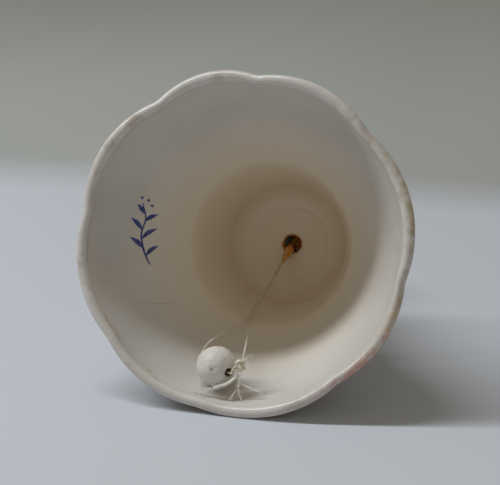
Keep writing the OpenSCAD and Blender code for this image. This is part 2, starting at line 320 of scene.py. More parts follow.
def even(path, step):
    """The path with points step apart, on smooth curves between the given ones."""
    p = np.asarray(path, float)
    ends = np.vstack([2 * p[0] - p[1], p, 2 * p[-1] - p[-2]])
    t = np.linspace(0, 1, 24, endpoint=False)[:, None]
    smooth = [b + t * (c - a) / 2 + t * t * (a - 2.5 * b + 2 * c - d / 2)
              + t ** 3 * (1.5 * (b - c) + (d - a) / 2)
              for a, b, c, d in zip(ends, ends[1:], ends[2:], ends[3:])]
    fine = np.vstack([*smooth, p[-1:]])
    at = np.concatenate([[0], np.cumsum(np.linalg.norm(np.diff(fine, axis=0), axis=1))])
    want = np.linspace(0, at[-1], max(2, round(at[-1] / step) + 1))
    return np.stack([np.interp(want, at, fine[:, k]) for k in range(3)], axis=1)


def length_of(path):
    return float(np.linalg.norm(np.diff(path, axis=0), axis=1).sum())


def frames_along(path):
    """Directions along a line, and two across it that turn as little as they can."""
    way = np.gradient(path, axis=0)
    way /= np.linalg.norm(way, axis=1)[:, None]
    u = np.cross(way[0], (0.8, 0.5, 0.33))
    us = []
    for w in way:
        u = u - w * (u @ w)
        u /= np.linalg.norm(u)
        us.append(u)
    us = np.array(us)
    return way, us, np.cross(way, us)


def tube(path, radius, sides=8, lumps=0.0, flat=1.0, seed=0.0):
    """Points, faces and share along for a tube with rounded ends. radius may change along the path."""
    _, u, v = frames_along(path)
    n = len(path)
    r = np.broadcast_to(np.asarray(radius, float), (n,)).copy()
    step = length_of(path) / max(1, n - 1)
    distance = np.arange(n) * step
    cap = np.clip(np.minimum(distance, distance[::-1]) / np.maximum(r, 1e-6), 0, 1)
    r *= np.sqrt(np.clip(1 - (1 - cap) ** 2, 0.02, 1))
    points, along = [], []
    for i in range(n):
        for k in range(sides):
            a = 2 * math.pi * k / sides
            grow = 1 + lumps * noise.noise(Vector((i * step * 1.7 + seed, math.cos(a), math.sin(a) + seed)))
            points.append(path[i] + r[i] * grow * (math.cos(a) * u[i] + flat * math.sin(a) * v[i]))
            along.append(i / (n - 1))
    faces = grid_faces(n, sides)
    faces.append(tuple(reversed(range(sides))))
    faces.append(tuple(range((n - 1) * sides, n * sides)))
    return points, [tuple(reversed(f)) for f in faces], along


def twisted(parts, path, radius, ply_radius, pitch, plies=2, phase=0.0, lumps=0.12, loose=0.0, seed=1.0):
    """Plies laid round a line. loose lets their distance from the line wander."""
    _, u, v = frames_along(path)
    step = length_of(path) / (len(path) - 1)
    s = np.arange(len(path)) * step
    for ply in range(plies):
        a = 2 * math.pi * (s / pitch + ply / plies) + phase
        wander = np.array([noise.noise(Vector((x * 0.35, seed + ply * 3.1, 0.5))) for x in s])
        off = radius * (1 + loose * wander)
        line = path + off[:, None] * (np.cos(a)[:, None] * u + np.sin(a)[:, None] * v)
        parts.take(*tube(line, ply_radius * (1 + 0.5 * loose * wander), 8, lumps, seed=seed + ply))
    return parts


def fuzz(parts, path, count, length, radius, spread, rng, start=0.0, lean=0.6):
    """Loose fibres that leave a line, with a bend in each."""
    way, u, v = frames_along(path)
    for _ in range(count):
        i = int(len(path) * (start + (1 - start) * rng.random() * 0.98))
        a = rng.random() * 2 * math.pi
        out = math.cos(a) * u[i] + math.sin(a) * v[i]
        side = math.cos(a + 1.9) * u[i] + math.sin(a + 1.9) * v[i]
        far = length * (0.45 + 0.8 * rng.random())
        root = path[i] + out * spread * 0.6
        mid = root + far * 0.5 * (out * 0.55 + way[i] * lean + side * (rng.random() - 0.5))
        rise = 0.5 - 0.7 * rng.random()
        tip = mid + far * 0.5 * (out * rise + way[i] * lean + side * (rng.random() - 0.5))
        line = even([root, mid, tip], max(far / 7, 0.08))
        parts.take(*tube(line, np.linspace(radius, radius * 0.5, len(line)), 4, seed=i))
    return parts


# ---- The bell's wall, as in the CAD, with the lobes as irregular as a slip-cast lip's ----

LOBES = 8
WALL = 2.4
LIP_R = WALL / 2
MOUTH_MID_R = 75 / 2 - LIP_R
WAIST_MID_R, WAIST_Z = 20.8, 30
LOBE_OFFSET, LOBE_ARC_R = 14, 24.1
OUTER_FADE, INNER_FADE = 24, 16.8
INNER_SHARE = 0.6
SHOULDER_X, SHOULDER_Z, SHOULDER_R = 9.2, 49.2, 5.5
CROWN_TOP, CROWN_HOLE_R = 58.4, 2.35
# Where two lobes meet, in degrees from the side that it lies on, and how each notch and lobe differs
# from the mean, in mm
NOTCHES = (-40, 12, 52, 98, 145, 182, 225, 279)
NOTCH_DEPTH = (0.0, 0.3, 0.2, 0.2, 0.1, 0.1, 0.2, -0.1)
LOBE_SWELL = (-0.4, -0.5, -0.2, 0.4, 0.2, 0.1, 0.1, -0.55)


def bezier(p, t):
    return (1 - t) ** 3 * p[0] + 3 * t * (1 - t) ** 2 * p[1] + 3 * t * t * (1 - t) * p[2] + t ** 3 * p[3]


def bezier_slope(p, t):
    return 3 * (1 - t) ** 2 * (p[1] - p[0]) + 6 * t * (1 - t) * (p[2] - p[1]) + 3 * t * t * (p[3] - p[2])


SKIRT_DROP = WAIST_Z - LIP_R
SKIRT = np.array(((MOUTH_MID_R, LIP_R), (MOUTH_MID_R - 0.7, LIP_R + 0.27 * SKIRT_DROP),
                  (WAIST_MID_R + 6.7, WAIST_Z - 0.35 * SKIRT_DROP), (WAIST_MID_R, WAIST_Z)))


def wall_point(t, side):
    """Radius and height of the skirt's wall: side is 1 outside and -1 inside."""
    r, z = bezier(SKIRT, t)
    slope = bezier_slope(SKIRT, t)
    return r + side * LIP_R * np.linalg.norm(slope) / slope[1], z


def lobe_reach(a):
    a = np.radians(a)
    return LOBE_OFFSET * np.cos(a) + np.sqrt(LOBE_ARC_R ** 2 - (LOBE_OFFSET * np.sin(a)) ** 2)


def lobe_wave(a):
    """How far the lip stands out from its mean radius at an angle, with soft notches."""
    a = (np.asarray(a, float) - NOTCHES[0]) % 360 + NOTCHES[0]
    stops = np.array([*NOTCHES, NOTCHES[0] + 360], float)
    i = np.clip(np.searchsorted(stops, a, "right") - 1, 0, LOBES - 1)
    u = (a - stops[i]) / (stops[i + 1] - stops[i])
    crest, notch = lobe_reach(0), lobe_reach(180 / LOBES)
    mean = (2 * crest + 2 * lobe_reach(90 / LOBES) + notch) / 5
    bump = (lobe_reach((np.hypot(u - 0.5, 0.02)) * 360 / LOBES) - notch) / (crest - notch)
    depth, swell = np.array([*NOTCH_DEPTH, NOTCH_DEPTH[0]]), np.array(LOBE_SWELL)
    low = notch - mean + depth[i] * (1 - u) + depth[i + 1] * u
    return low * (1 - bump) + (crest - mean + swell[i]) * bump


WAVE_AT = np.arange(-8, 369, 0.5)
WAVE = np.convolve(lobe_wave(WAVE_AT), np.hanning(11) / np.hanning(11).sum(), "same")


def fade(z, end):
    return np.maximum(0, 1 - np.maximum(z, 0) / end) ** 2


def skirt_radius(r, z, share, a):
    """The wall's radius at an angle, from its mean radius, height and share of the lobes."""
    end = OUTER_FADE if share >= 1 else INNER_FADE
    return r + share * fade(z, end) * np.interp(np.asarray(a) % 360, WAVE_AT, WAVE)


def at_side(r, a, z):
    a = np.radians(a)
    return np.stack([-r * np.sin(a), r * np.cos(a), np.broadcast_to(z, np.shape(a)) + 0 * a], axis=-1)


def arc(x, z, r, start, end, count):
    return [(x + r * math.cos(math.radians(a)), z + r * math.sin(math.radians(a)))
            for a in np.linspace(start, end, count)]


def crisp(points, near=0.22, step=1.1):
    """A line with points close to each corner, so that smooth shading keeps it."""
    out = [points[0]]
    for a, b in zip(points, points[1:]):
        a, b = np.array(a, float), np.array(b, float)
        gap = np.linalg.norm(b - a)
        if gap > 3 * near:
            inner = np.linspace(near, gap - near, max(2, round(gap / step)))
            out += [tuple(a + (b - a) * s / gap) for s in inner]
        out.append(tuple(b))
    return out


OUTER_LINE = [wall_point(t, 1) for t in np.linspace(0.955, 0, 44)]
INNER_LINE = [wall_point(t, -1) for t in np.linspace(0, 1, 48)]
LIP_LINE = [(MOUTH_MID_R + LIP_R * math.cos(a), LIP_R * (1 + math.sin(a)))
            for a in np.linspace(0, -math.pi, 19)[1:-1]]
MOULDING_X, MOULDING_Z, MOULDING_R = 22.6, 31.05, 1.3


def bell_section():
    """The wall's closed section: radius, height, share of the lobes, and how far outside each point is."""
    top = crisp([(CROWN_HOLE_R, CROWN_TOP), (8.5, CROWN_TOP), (8.85, CROWN_TOP - 0.12), (9.05, 57.75),
                 (9.4, 57.1)])
    top += arc(SHOULDER_X, SHOULDER_Z, SHOULDER_R + WALL, 86, 2, 14)
    top += crisp([(17.1, SHOULDER_Z), (18.35, 44), (20.0, 37.6), (21.7, 33.3), (22.25, 32.7)], 0.3, 1.4)
    top += arc(MOULDING_X, MOULDING_Z, MOULDING_R, 90, -44, 14)
    inside = [(19.12, 30.5), (18.9, 31.2), (18.62, 32.2)]
    inside += crisp([(18.36, 33.2), (SHOULDER_X + SHOULDER_R, SHOULDER_Z)])
    inside += arc(SHOULDER_X, SHOULDER_Z, SHOULDER_R, 4, 90, 14)
    inside += crisp([(8.85, 55.05), (3.1, 55.9), (2.55, 56.03), (CROWN_HOLE_R, 56.25),
                     (CROWN_HOLE_R, CROWN_TOP)])[:-1]
    rows = [(r, z, 1.0, 1.0) for r, z in top + OUTER_LINE]
    steps = len(LIP_LINE) + 1
    rows += [(r, z, 1 - (1 - INNER_SHARE) * (i + 1) / steps, 1 - (i + 1) / steps)
             for i, (r, z) in enumerate(LIP_LINE)]
    rows += [(r, z, INNER_SHARE, 0.0) for r, z in INNER_LINE + inside]
    return rows


def unevenness(points, amount, size):
    return np.array([amount * noise.noise(Vector(p) * size) for p in points])


def bell_body():
    angles = np.arange(0, 360, 1.0)
    points, lip, band, deep, way_round = [], [], [], [], []
    beside = np.clip((angles - 205) / 18, 0, 1) * np.clip((338 - angles) / 18, 0, 1)
    for r, z, share, outside in bell_section():
        radius = skirt_radius(r, z, share, angles)
        ring = at_side(radius, angles, z)
        out = ring * (1, 1, 0) / radius[:, None]
        wobble = unevenness(ring, 0.1, 0.055) * min(1, max(0, (54 - z) / 20))
        ring = ring + out * wobble[:, None]
        ring[:, 2] += fade(z, 9) * (0.22 + unevenness(at_side(36.0, angles, 0.0), 0.4, 0.05))
        points.append(ring)
        lip.append(np.full(len(angles), math.exp(-z / 1.3)))
        band.append((0.12 + 0.88 * beside) * outside * math.exp(-(z / 2.3) ** 2) * min(1, outside * 1.6))
        # deep is the painted bounce light mask: 0 outside and near the mouth, rising to 1 from 13 to 33 mm in
        # on the inside wall
        deep.append(np.full(len(angles), (1 - outside) * min(1, max(0, (z - 13) / 20))))
        way_round.append((angles - 205) / 135)
    points, n = np.vstack(points), len(angles)
    faces = grid_faces(len(points) // n, n, close_rows=True)
    return add_mesh("bell_body_glazed", points, faces, GLAZE, "bell",
                    {"lip": np.concatenate(lip), "rim_band": np.concatenate(band),
                     "deep": np.concatenate(deep), "round": np.concatenate(way_round)}, ["bell_body"])


# ---- Strokes of enamel and dirt that follow the wall ----

INNER_T = np.array(INNER_LINE)
OUTER_T = np.array(OUTER_LINE)[::-1]


def on_wall(a, z, side):
    """A point on the skirt's wall at an angle and a height."""
    line = OUTER_T if side > 0 else INNER_T
    r = np.interp(z, line[:, 1], line[:, 0])
    share = 1.0 if side > 0 else INNER_SHARE
    p = at_side(skirt_radius(r, z, share, a), np.asarray(a, float), z)
    out = np.array([p[0], p[1], 0]) / math.hypot(p[0], p[1])
    p = p + out * 0.1 * noise.noise(Vector(p) * 0.055)
    p[2] += fade(z, 9) * (0.22 + 0.4 * noise.noise(Vector(at_side(36.0, np.asarray(a, float), 0.0)) * 0.05))
    return p


def on_patch(a0, z0, u, v, side):
    """A point of the wall u mm round and v mm up from a place on it, and the wall's normal there."""
    turn = math.degrees(1 / 30.0)
    p = on_wall(a0 + u * turn, z0 + v, side)
    du = on_wall(a0 + (u + 0.1) * turn, z0 + v, side) - p
    dv = on_wall(a0 + u * turn, z0 + v + 0.1, side) - p
    normal = np.cross(du, dv)
    normal /= np.linalg.norm(normal)
    out = np.array([p[0], p[1], 0])
    return p, normal * math.copysign(1, (normal @ out) * side)


def stroke(parts, a0, z0, path, widths, side, height=0.05, lift=0.0):
    """A ribbon of enamel along points (u, v) on the wall, with its width changing along it."""
    line = even([(u, v, 0) for u, v in path], 0.32)[:, :2]
    n = len(line)
    width = np.interp(np.linspace(0, 1, n), np.linspace(0, 1, len(widths)), widths)
    way = np.gradient(line, axis=0)
    way /= np.maximum(np.linalg.norm(way, axis=1)[:, None], 1e-9)
    cross = np.stack([-way[:, 1], way[:, 0]], axis=1)
    share = (-1, -0.72, 0, 0.72, 1)
    rise = (-0.02, 0.75, 1, 0.75, -0.02)
    points, along = [], []
    for i in range(n):
        for q, h in zip(share, rise):
            u, v = line[i] + cross[i] * width[i] / 2 * q
            p, normal = on_patch(a0, z0, u, v, side)
            ends = min(1.0, 3 * i / (n - 1), 3 * (n - 1 - i) / (n - 1))
            points.append(p + normal * (height * h * (0.25 + 0.75 * ends) + (lift if h > 0 else 0)))
            along.append(i / (n - 1))
    faces = grid_faces(n, len(share), close_columns=False)
    a, b, c = (np.array(points[i]) for i in faces[0][:3])
    if np.cross(b - a, c - b) @ on_patch(a0, z0, *line[0], side)[1] < 0:
        faces = [tuple(reversed(f)) for f in faces]
    return parts.take(points, faces, along)


def sprig():
    """Blue brush-drawn sprig on the inside, where the maker's place is."""
    parts = Parts()
    a0, z0 = 91, 17.6
    stem = [(-8, 1.6), (-4, 0.4), (0, -0.2), (4, 0.3), (7.6, -1.4)]
    stroke(parts, a0, z0, stem, (0.3, 0.55, 0.5, 0.42, 0.25), -1)
    leaves = ((-5.6, 3.2, 1), (-3.6, 3.4, -1), (-1.2, 3.6, 1), (1.0, 3.3, -1), (3.2, 3.0, 1), (5.0, 2.5, -1))
    for at, length, turn in leaves:
        root = np.interp(at, [p[0] for p in stem], [p[1] for p in stem])
        line = [(at, root), (at + 0.45 * length, root + 0.42 * turn * length),
                (at + 0.8 * length, root + turn * length)]
        stroke(parts, a0, z0, line, (0.2, 0.95, 1.25, 0.8, 0.15), -1)
    for at, up in ((8.5, -2.2), (8.3, -0.4), (7.2, 0.9)):
        stroke(parts, a0, z0, [(at, up), (at + 0.6, up + 0.3)], (0.4, 0.9, 0.9, 0.4), -1)
    return parts.piece("blue_sprig", BLUE, "bell", "porcelain")


def flower(petals, centres, a0, z0, size, turn, count=5):
    for i in range(count):
        a = math.radians(turn + 360 * i / count)
        c, s = math.cos(a), math.sin(a)
        path = [(0.22 * size * c, 0.22 * size * s),
                (0.6 * size * c - 0.08 * size * s, 0.6 * size * s + 0.08 * size * c),
                (size * c, size * s)]
        stroke(petals, a0, z0, path, np.array((0.3, 0.75, 0.95, 0.85, 0.35)) * size, 1, 0.09, lift=0.004 * i)
    for i in range(4):
        a = math.radians(90 * i + 20)
        c, s = 0.16 * size * math.cos(a), 0.16 * size * math.sin(a)
        stroke(centres, a0, z0, [(c - 0.1 * size, s), (c + 0.1 * size, s + 0.05 * size)],
               np.array((0.1, 0.2, 0.2, 0.1)) * size, 1, 0.13)


def leaf(parts, a0, z0, length, turn, side=1):
    a = math.radians(turn)
    c, s = math.cos(a), math.sin(a)
    bend = 0.14 * length
    path = [(0, 0), (0.5 * length * c - bend * s, 0.5 * length * s + bend * c), (length * c, length * s)]
    stroke(parts, a0, z0, path, np.array((0.06, 0.26, 0.34, 0.24, 0.04)) * length, side, 0.08)


def garland():
    """Painted flowers and leaves round the outside of the skirt."""
    rose, mauve, ochre, leaves, gilt = Parts(), Parts(), Parts(), Parts(), Parts()
    rng = np.random.default_rng(11)
    for i in range(LOBES):
        a0 = 22.5 + 45 * i
        z0 = 12 + 2.2 * (i % 2)
        flower(rose if i % 2 else mauve, ochre, a0, z0, 4.2 if i % 2 else 3.5, rng.random() * 70)
        for turn in (18, 162, 205, -25):
            leaf(leaves, a0 + (5.2 if abs(turn) < 90 else -5.2), z0 - 0.6, 4.2 + rng.random(), turn)
        bud = ochre if i % 2 else rose
        flower(bud, leaves, a0 + 21, 5.4, 2.0, rng.random() * 70, 4)
        leaf(leaves, a0 + 16.5, 5.2, 3.4, 170)
        leaf(leaves, a0 + 25.5, 5.2, 3.4, 10)
        vine = [(-11, -3.4), (-6.5, -1.2), (0, -2.6), (6, -1.0), (11, -3.4)]
        stroke(leaves, a0, z0 - 2.4, vine, (0.16, 0.3, 0.22, 0.3, 0.16), 1, 0.05)
        for k in range(5):
            stroke(mauve, a0 - 14 + 6.5 * k, 22.5 + 0.9 * (k % 2), [(-0.9, -0.5), (0, 0.4), (0.9, -0.5)],
                   (0.2, 0.5, 0.5, 0.2), 1, 0.06)
    for z, width in ((3.0, 0.55), (26.4, 0.5)):
        ring = [(math.radians(a) * 30, 0) for a in range(0, 361, 3)]
        stroke(gilt, 0, z, ring, (width, width), 1, 0.05)
    rose.piece("rose_petals", ROSE, "bell", "porcelain")
    mauve.piece("mauve_petals", MAUVE, "bell", "porcelain")
    ochre.piece("ochre_petals", OCHRE, "bell", "porcelain")
    leaves.piece("painted_leaves", LEAF, "bell", "porcelain")
    gilt.piece("gilt_lines", GILT, "bell", "porcelain")


def old_marks():
    """Hairlines in the glaze and dirt along the lip, inside."""
    grime, moss = Parts(), Parts()
    stroke(grime, 56, 17.5, [(1.75, -4.2), (0.6, -1.4), (-0.5, 1.6), (-1.7, 4.3)],
           (0.05, 0.1, 0.08, 0.1, 0.04), -1, 0.012)
    stroke(grime, 57.4, 1.6, [(1.2, 0.4), (0, 0), (-2.6, 0.3), (-5.6, -0.5)],
           (0.1, 0.35, 0.2, 0.3, 0.1), -1, 0.015)
    stroke(grime, 30, 1.2, [(-1.4, 0.2), (0.8, -0.1)], (0.1, 0.4, 0.3, 0.1), -1, 0.015)
    stroke(moss, 33, 2.4, [(-0.5, 0.2), (0.8, -0.1)], (0.2, 0.7, 0.5, 0.1), -1, 0.015)
    stroke(grime, 158, 11.5, [(-0.2, 0), (0.25, 0.1)], (0.2, 0.42, 0.42, 0.2), -1, 0.02)
    stroke(grime, 84, 1.4, [(-2.2, 0.2), (0, 0), (2.6, 0.2)], (0.08, 0.22, 0.1), -1, 0.012)
    stroke(grime, 132, 1.4, [(-3.0, 0.1), (0, 0), (2.2, -0.1)], (0.06, 0.2, 0.08), -1, 0.012)
    grime.piece("glaze_hairlines", GRIME, "bell", "porcelain")
    moss.piece("green_speck", MOSS, "bell", "porcelain")


# ---- Handle ----

HANDLE_H, FOOT_R, NECK_R, KNOP_R, FINIAL_R = 56.6, 8.5, 4.2, 8.0, 6.2
BORE_R, BORE_SHARE = 2.8, 0.6


def handle_section():
    h = HANDLE_H - 2 * FINIAL_R

    def curve(*p):
        return [tuple(bezier(np.array(p, float), t)) for t in np.linspace(0, 1, 22)]

    line = crisp([(BORE_R, 0), (FOOT_R, 0), (FOOT_R + 0.02, 0.5), (FOOT_R, 1.3), (FOOT_R - 0.4, 1.75),
                  (FOOT_R - 1.0, 2.1), (FOOT_R - 1.9, 2.35)], 0.12, 0.8)
    line += curve((FOOT_R - 2, 2.4), (NECK_R, 3), (NECK_R, 0.1 * h), (NECK_R, 0.2 * h))
    line += curve((NECK_R, 0.2 * h), (NECK_R + 0.2, 0.3 * h), (KNOP_R, 0.28 * h), (KNOP_R, 0.44 * h))[1:]
    line += curve((KNOP_R, 0.44 * h), (KNOP_R, 0.6 * h), (NECK_R, 0.62 * h), (NECK_R, 0.8 * h))[1:]
    line += curve((NECK_R, 0.86 * h), (NECK_R + 1.9, 0.87 * h), (NECK_R + 1.9, 0.95 * h),
                  (NECK_R - 0.3, 0.965 * h))
    low = math.degrees(math.acos((NECK_R - 0.35) / FINIAL_R))
    line += arc(0, HANDLE_H - FINIAL_R, FINIAL_R, -low, 89, 26)
    line.append((0.02, HANDLE_H))
    return line + [(0.02, BORE_SHARE * HANDLE_H), (BORE_R, BORE_SHARE * HANDLE_H)]


def handle():
    angles = np.arange(0, 360, 3.0)
    points = []
    for r, z in handle_section():
        ring = at_side(np.full(len(angles), r), angles, CROWN_TOP + z)
        swell = unevenness(ring, 0.12, 0.09) if r > BORE_R + 0.1 and 2.5 < z < 40 else np.zeros(len(angles))
        points.append(ring + ring * (1, 1, 0) / r * swell[:, None])
    points = np.vstack(points)
    n = len(angles)
    faces = [tuple(reversed(f)) for f in grid_faces(len(points) // n, n, close_rows=True)]
    return add_mesh("handle_glazed", points, faces, HANDLE_GLAZE, "bell", replaces=["handle"])


def lathe_ring(parts, line, angles):
    """A closed ring whose section is line: [radius, height]."""
    points = np.vstack([at_side(np.full(len(angles), r), angles, z) for r, z in line])
    return parts.take(points, grid_faces(len(line), len(angles), close_rows=True), [0.5] * len(points))


def gilt_rings():
    """Gilt lines on the handle's rings and the waist moulding, a hair proud of the glaze."""
    parts, h = Parts(), HANDLE_H - 2 * FINIAL_R
    angles = np.arange(0, 360, 3.0)
    rings = ((FOOT_R - 0.15, 1.1, 0.5), (NECK_R + 1.28, 0.912 * h, 0.4), (KNOP_R - 0.02, 0.44 * h, 0.35))
    for r, z, width in rings:
        lathe_ring(parts, arc(r, CROWN_TOP + z, width / 2 + 0.1, 0, 330, 12), angles)
    lathe_ring(parts, arc(MOULDING_X + MOULDING_R - 0.24, MOULDING_Z, 0.3, 0, 330, 12), angles)
    return parts.piece("gilt_rings", GILT, "bell", "porcelain")


# ---- Clapper ----

PIVOT = np.array((0, 0, PIVOT_Z))
ANCHOR = np.array((0, 0, 60.6))
TOUCH = np.array((-3.888, 17.985, 30.000))
BEAD = np.array((-5.079, 27.403, 7.238))
BEAD_R, BORE_BEAD_R = 4.5, 0.8
BORE_WAY = np.array((0.785, 0.178, -0.593))
THREAD_D, STRAND_D, TAIL_D, KNOT_R = 0.9, 0.44, 1.1, 1.05
SOAKED = 9
THREAD_WAY = (TOUCH - PIVOT) / np.linalg.norm(TOUCH - PIVOT)
BORE_MOUTH = (BEAD_R + STRAND_D) * BORE_WAY / np.linalg.norm(BORE_WAY)


def by_bead(*route):
    """Points given in bead radii from the bead's centre."""
    return [BEAD + BEAD_R * np.array(q) for q in route]


KNOT = by_bead((1.36, -0.44, -0.29), (1.2, 0, -0.44))
BEAD_ROUTE = [TOUCH, *by_bead((-0.69, -1.24, 2.22), (-0.98, -0.82, 1.38), (-1.09, -0.36, 0.93)),
              BEAD - BORE_MOUTH, BEAD, BEAD + BORE_MOUTH,
              *by_bead((0.98, 0.04, -0.69), (1.16, -0.27, -0.53)), KNOT[0]]
LONG_TAIL = by_bead((1.16, 0.04, -0.4), (1.09, 0.4, -0.58), (0.78, 0.71, -0.73), (0.4, 0.89, -0.78),
                    (0.07, 0.98, -0.71))
SHORT_TAIL = by_bead((1.2, 0.04, -0.4), (1.27, 0.31, -0.47), (1.29, 0.62, -0.51), (1.24, 0.89, -0.51))


def knot_piece(name, centre, radius, thick, body, material, slot, turn, replaces=()):
    """A pulled-tight trefoil knot."""
    t = np.linspace(0, 2 * math.pi, 90, endpoint=False)
    line = np.stack([np.sin(t) + 2 * np.sin(2 * t), np.cos(t) - 2 * np.cos(2 * t), -1.5 * np.sin(3 * t)],
                    axis=1)
    line = line @ np.array(Matrix.Rotation(turn, 3, Vector((0.6, 0.7, 0.3)))).T * radius / 3
    line += centre
    _, u, v = frames_along(line)
    points, along = [], []
    for i, p in enumerate(line):
        for k in range(10):
            a = 2 * math.pi * k / 10
            grow = thick * (1 + 0.14 * math.sin(9 * a + i * 0.8))
            points.append(p + grow * (math.cos(a) * u[i] + math.sin(a) * v[i]))
            along.append(0.5)
    faces = [tuple(reversed(f)) for f in grid_faces(len(line), 10, close_rows=True)]
    return Parts().take(points, faces, along).piece(name, material, body, slot, replaces)


def twisted_thread():
    path = even([PIVOT, (PIVOT + TOUCH) / 2, TOUCH], 0.16)
    parts = twisted(Parts(), path, 0.2, 0.245, 2.3, lumps=0.25, loose=0.18)
    fuzz(parts, path, 46, 1.6, 0.035, 0.4, np.random.default_rng(3), start=0.3)
    return parts.piece("twisted_thread_plies", THREAD, "clapper", "twisted_cotton", ["twisted_thread"]), path


def bead_strand():
    path = even(BEAD_ROUTE, 0.13)
    parts = twisted(Parts(), path, 0.11, 0.13, 1.5, lumps=0.3, loose=0.5, seed=7)
    fuzz(parts, path[:len(path) // 2], 26, 1.2, 0.03, 0.2, np.random.default_rng(5))
    return parts.piece("bead_strand_plies", STRAND, "clapper", "cotton_strand", ["bead_strand"]), path


def return_strand():
    path = even([TOUCH, TOUCH * 0.5 + KNOT[0] * 0.5 + (0.25, 0.1, 0), KNOT[0]], 0.14)
    parts = twisted(Parts(), path, 0.085, 0.11, 1.9, lumps=0.3, loose=0.3, seed=12)
    fuzz(parts, path, 16, 1.1, 0.028, 0.16, np.random.default_rng(6))
    return parts.piece("return_strand_plies", STRAND, "clapper", "cotton_strand", ["return_strand"])


def frayed_tail(name, route, width, fibres, seed, replaces):
    """A cut end: a loose bundle that opens towards its tip."""
    rng = np.random.default_rng(seed)
    parts = Parts()
    path = even(route, 0.16)
    n = len(path)
    s = np.linspace(0, 1, n)
    core = width * (0.58 + 0.07 * np.sin(7 * s)) * (1 - 0.25 * s)
    parts.take(*tube(path, core, 12, 0.35, flat=0.55, seed=seed))
    _, u, v = frames_along(path)
    for _ in range(fibres):
        a, pull = rng.random() * 2 * math.pi, 0.5 + rng.random()
        end = n - int(rng.random() * 0.2 * n)
        off = width * (0.34 + 0.42 * pull * s ** 3)
        twist = a + 1.4 * s * (rng.random() - 0.5)
        line = path + off[:, None] * (np.cos(twist)[:, None] * u + 0.7 * np.sin(twist)[:, None] * v)
        parts.take(*tube(line[:end], np.linspace(0.10, 0.05, end), 5, 0.3, seed=rng.random() * 9))
    return parts.piece(name, FIBRE, "clapper", "cotton_strand", replaces)


def fine_fibres():
    """Single fibres lying loose below the knot, over the lip and across the wall."""
    rng = np.random.default_rng(21)
    parts = Parts()
    tip = LONG_TAIL[-1]
    starts = [tip, tip, tip, LONG_TAIL[3], SHORT_TAIL[-1], SHORT_TAIL[-1], SHORT_TAIL[2], KNOT[0], KNOT[1]]
    ways = [(-6, 1.6, -1), (-4.5, 2.0, -1.4), (-5.2, 1.2, -0.4), (-3, 1.2, -0.8), (-1.2, 3.2, -1.2),
            (1.6, 3.0, -0.8), (5.5, 2.2, 0.5), (2.2, -1.5, 0.4), (1.2, 1.4, -1.0)]
    for root, way in zip(starts * 3, ways * 3):
        way = np.array(way, float) * (0.7 + 0.5 * rng.random())
        mid = root + 0.5 * way + rng.normal(0, 0.35, 3)
        line = even([root, mid, root + way + rng.normal(0, 0.45, 3)], 0.3)
        parts.take(*tube(line, 0.03 + 0.06 * rng.random(), 5, 0.2, seed=rng.random() * 9))
    return parts.piece("loose_fibres", FIBRE, "clapper", "cotton_strand")


def soaked_end():
    """Thread end soaked in old glue: lumpy, thick at the hole and thin where the thread leaves it."""
    path = even([PIVOT, PIVOT + SOAKED / 2 * THREAD_WAY, PIVOT + SOAKED * THREAD_WAY], 0.15)
    s = np.linspace(0, 1, len(path))
    radius = np.interp(s, (0, 0.1, 0.28, 0.5, 0.75, 1), (0.7, 0.92, 1.08, 0.95, 0.66, 0.42))
    parts = Parts().take(*tube(path, radius, 16, 0.3, seed=4.0))
    for k, (start, end, off) in enumerate(((0.1, 0.8, 0.55), (0.18, 0.92, 0.5), (0.3, 1.0, 0.3))):
        _, u, v = frames_along(path)
        a = 2.1 * k + 2.5 * s
        line = path + off * radius[:, None] * (np.cos(a)[:, None] * u + np.sin(a)[:, None] * v)
        kept = slice(int(start * len(line)), int(end * len(line)))
        points, faces, along = tube(line[kept], 0.42 * radius[kept], 10, 0.3, seed=k + 1.5)
        parts.take(points, faces, [start + (end - start) * x for x in along])
    return parts.piece("soaked_thread", AMBER, "clapper", "glue", ["soaked_thread_end"])


def glue_fillet():
    """Old glue squeezed out round the hole, thickest at its left and lower edge."""
    angles = np.arange(0, 360, 5.0)
    lean = (1 + np.cos(np.radians(angles - 58))) / 2
    rough = np.array([noise.noise(Vector((2 * math.cos(a), 2 * math.sin(a), 7))) for a in np.radians(angles)])
    amount = np.clip(0.12 + 0.5 * lean ** 3 + 0.2 * rough, 0.06, 0.8)
    points, along = [], []
    section = ((2.33, 58.2), (2.18, 57.4), (2.12, 56.4), (2.1, 55.95), (2.3, 55.65), (2.62, 55.6),
               (2.95, 55.75), (3.2, 55.98), (3.0, 56.3), (2.4, 56.6))
    for r, z in section:
        wide = 2.3 + (r - 2.3) * (amount if r > 2.35 else np.ones(len(angles)))
        low = np.where(z < 56.0, 56.0 - (56.0 - z) * amount, z)
        points.append(at_side(wide, angles, low))
        along += [0.3] * len(angles)
    faces = grid_faces(len(section), len(angles), close_rows=True)
    parts = Parts().take(np.vstack(points), faces, along)
    return parts.piece("glue_fillet", AMBER, "bell", "glue", ["glue_collar"])


